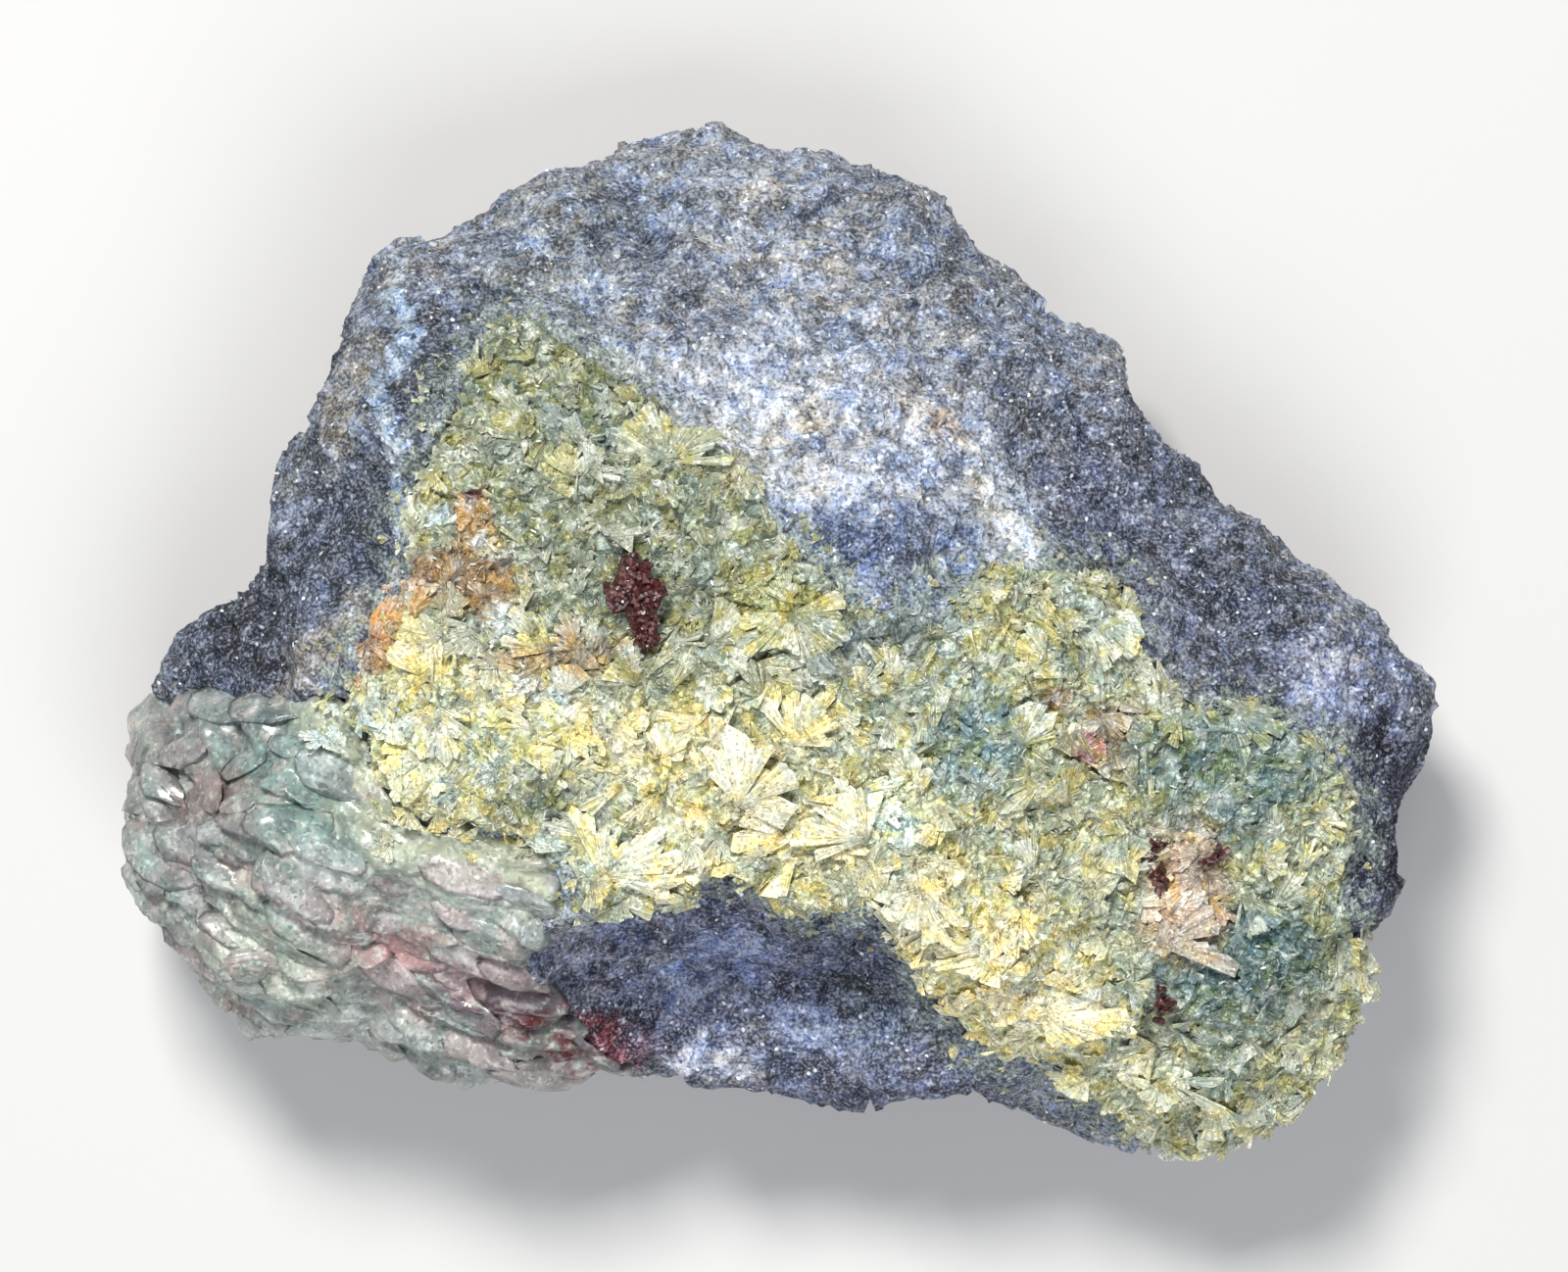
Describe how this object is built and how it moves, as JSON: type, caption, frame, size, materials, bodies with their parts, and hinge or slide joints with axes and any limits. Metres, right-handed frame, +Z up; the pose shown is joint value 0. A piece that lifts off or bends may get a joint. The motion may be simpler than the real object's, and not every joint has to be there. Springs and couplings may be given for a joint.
{
  "type": "pyrophyllite specimen",
  "caption": "Hand specimen of blue-grey lazulite-bearing rock with a yellow-green crust of radiating pyrophyllite fans, a scaly pyrophyllite end and dark red rutile, lying on its back.",
  "frame": {"origin": "on the resting face, under the middle of the specimen's box", "axes": "+X to the specimen's right and +Y to its top, seen from the crystal side; +Z up out of the crystal side, away from what it rests on"},
  "size_m": [0.0914, 0.0728, 0.0367],
  "materials": {
    "matrix_rock": "sugary broken quartz rock, matte with fine glints, blue and lavender grains",
    "pyrophyllite_crust": "pearly yellow to green radiating blades",
    "scaly_pyrophyllite": "pearly pale green, white and pink overlapping scales",
    "rutile": "dark red, bright metallic to adamantine lustre"
  },
  "bodies": {
    "root": {"matrix_rock": "matrix_rock", "pyrophyllite_crust": "pyrophyllite_crust", "scaly_pyrophyllite": "scaly_pyrophyllite", "rutile_cluster": "rutile", "rutile_needle": "rutile", "rutile_grain_1": "rutile", "rutile_grain_2": "rutile", "rutile_grain_3": "rutile"}
  },
  "joints": []
}
